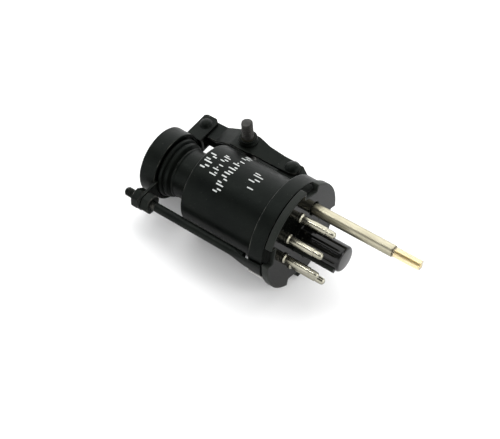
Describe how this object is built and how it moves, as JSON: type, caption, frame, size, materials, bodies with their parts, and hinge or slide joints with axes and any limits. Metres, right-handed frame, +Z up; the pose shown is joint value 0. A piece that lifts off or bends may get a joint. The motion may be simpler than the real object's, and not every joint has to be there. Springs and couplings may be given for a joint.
{
  "type": "reflex klystron valve",
  "caption": "Microwave oscillator valve with an octal base, side strut, bow tuner turned by a screw, corrugated neck and a coaxial output probe through the base.",
  "frame": {"origin": "centre of the base's seating face, on the valve's axis", "axes": "the valve lies on its side as it rests on a bench: +X towards the contact pins, +Y towards the bow tuner, +Z up; the valve's own axis leans 7 degrees, cap end down"},
  "size_m": [0.0866, 0.0385, 0.0332],
  "materials": {
    "black_enamel": "satin black enamel over steel, slightly green-grey in the light",
    "phenolic": "glossy black moulded phenolic",
    "nickel": "warm nickel plate with light handling marks",
    "steel": "dull drawn steel",
    "oxide": "white oxide coating",
    "brass": "machined brass",
    "copper": "clean copper",
    "gold_mesh": "gold-plated mesh",
    "glass": "clear sealing glass",
    "amber_sleeve": "clear amber insulating sleeve",
    "mica": "pale mica"
  },
  "bodies": {
    "valve": {"octal_base": "phenolic", "base_shell": "black_enamel", "base_pin_1": "nickel", "base_pin_2": "nickel", "base_pin_3": "nickel", "base_pin_8": "nickel", "can_body": "black_enamel", "neck_sleeve": "black_enamel", "diaphragm": "black_enamel", "lower_grid": "gold_mesh", "resonator_cone": "copper", "coax_tube": "nickel", "coax_sleeve": "amber_sleeve", "coax_wire": "nickel", "coupling_loop": "nickel", "stem_header": "steel", "glass_stem": "glass", "exhaust_tip": "copper", "stem_leads": "steel", "gun_insulator": "mica", "heater": "steel", "cathode": "oxide", "focus_electrode": "steel", "getter_ring": "steel", "strut_rod": "black_enamel", "strut_foot": "black_enamel", "strut_nut_outer": "black_enamel", "strut_nut_inner": "black_enamel", "foot_wire": "steel", "base_bracket": "black_enamel", "base_rivet": "black_enamel", "bow_strip_upper": "black_enamel", "bow_strip_lower": "black_enamel"},
    "head": {"head_cup": "black_enamel", "reflector_cap": "nickel", "cap_bead": "glass", "reflector_lead": "steel", "reflector": "steel", "grid_carrier": "steel", "upper_grid": "gold_mesh", "strut_ear": "black_enamel", "head_bracket": "black_enamel", "head_rivet": "black_enamel", "bow_spacer": "black_enamel"},
    "tuner_screw": {"tuner_screw": "black_enamel"},
    "upper_nut": {"tuner_nut_upper": "black_enamel", "tuner_bush_upper": "brass"},
    "lower_nut": {"tuner_nut_lower": "black_enamel", "tuner_bush_lower": "brass"}
  },
  "joints": [
    {"name": "tuner_turn", "type": "hinge", "parent": "valve", "child": "tuner_screw", "pos_m": [-0.03097, 0.0166, -0.0038], "axis": [-0.1218, 0, 0.9926], "range_deg": [-180, 180]},
    {"name": "upper_nut_travel", "type": "slide", "parent": "valve", "child": "upper_nut", "axis": [-0.1218, 0, 0.9926], "range_m": [-0.000397, 0.000397], "deforming": ["bow_strip_upper"]},
    {"name": "lower_nut_travel", "type": "slide", "parent": "valve", "child": "lower_nut", "axis": [-0.1218, 0, 0.9926], "range_m": [-0.000397, 0.000397], "deforming": ["bow_strip_lower"]},
    {"name": "head_tilt", "type": "hinge", "parent": "valve", "child": "head", "pos_m": [-0.04516, -0.0153, -0.00554], "axis": [-0.1218, 0, 0.9926], "range_deg": [-0.4, 0.4], "deforming": ["diaphragm"]}
  ],
  "couplings": [
    {"joint": "tuner_turn", "follows": "upper_nut_travel", "rad_per_m": -7913.3},
    {"joint": "lower_nut_travel", "follows": "upper_nut_travel", "ratio": -1},
    {"joint": "head_tilt", "follows": "upper_nut_travel", "rad_per_m": -17.585}
  ]
}
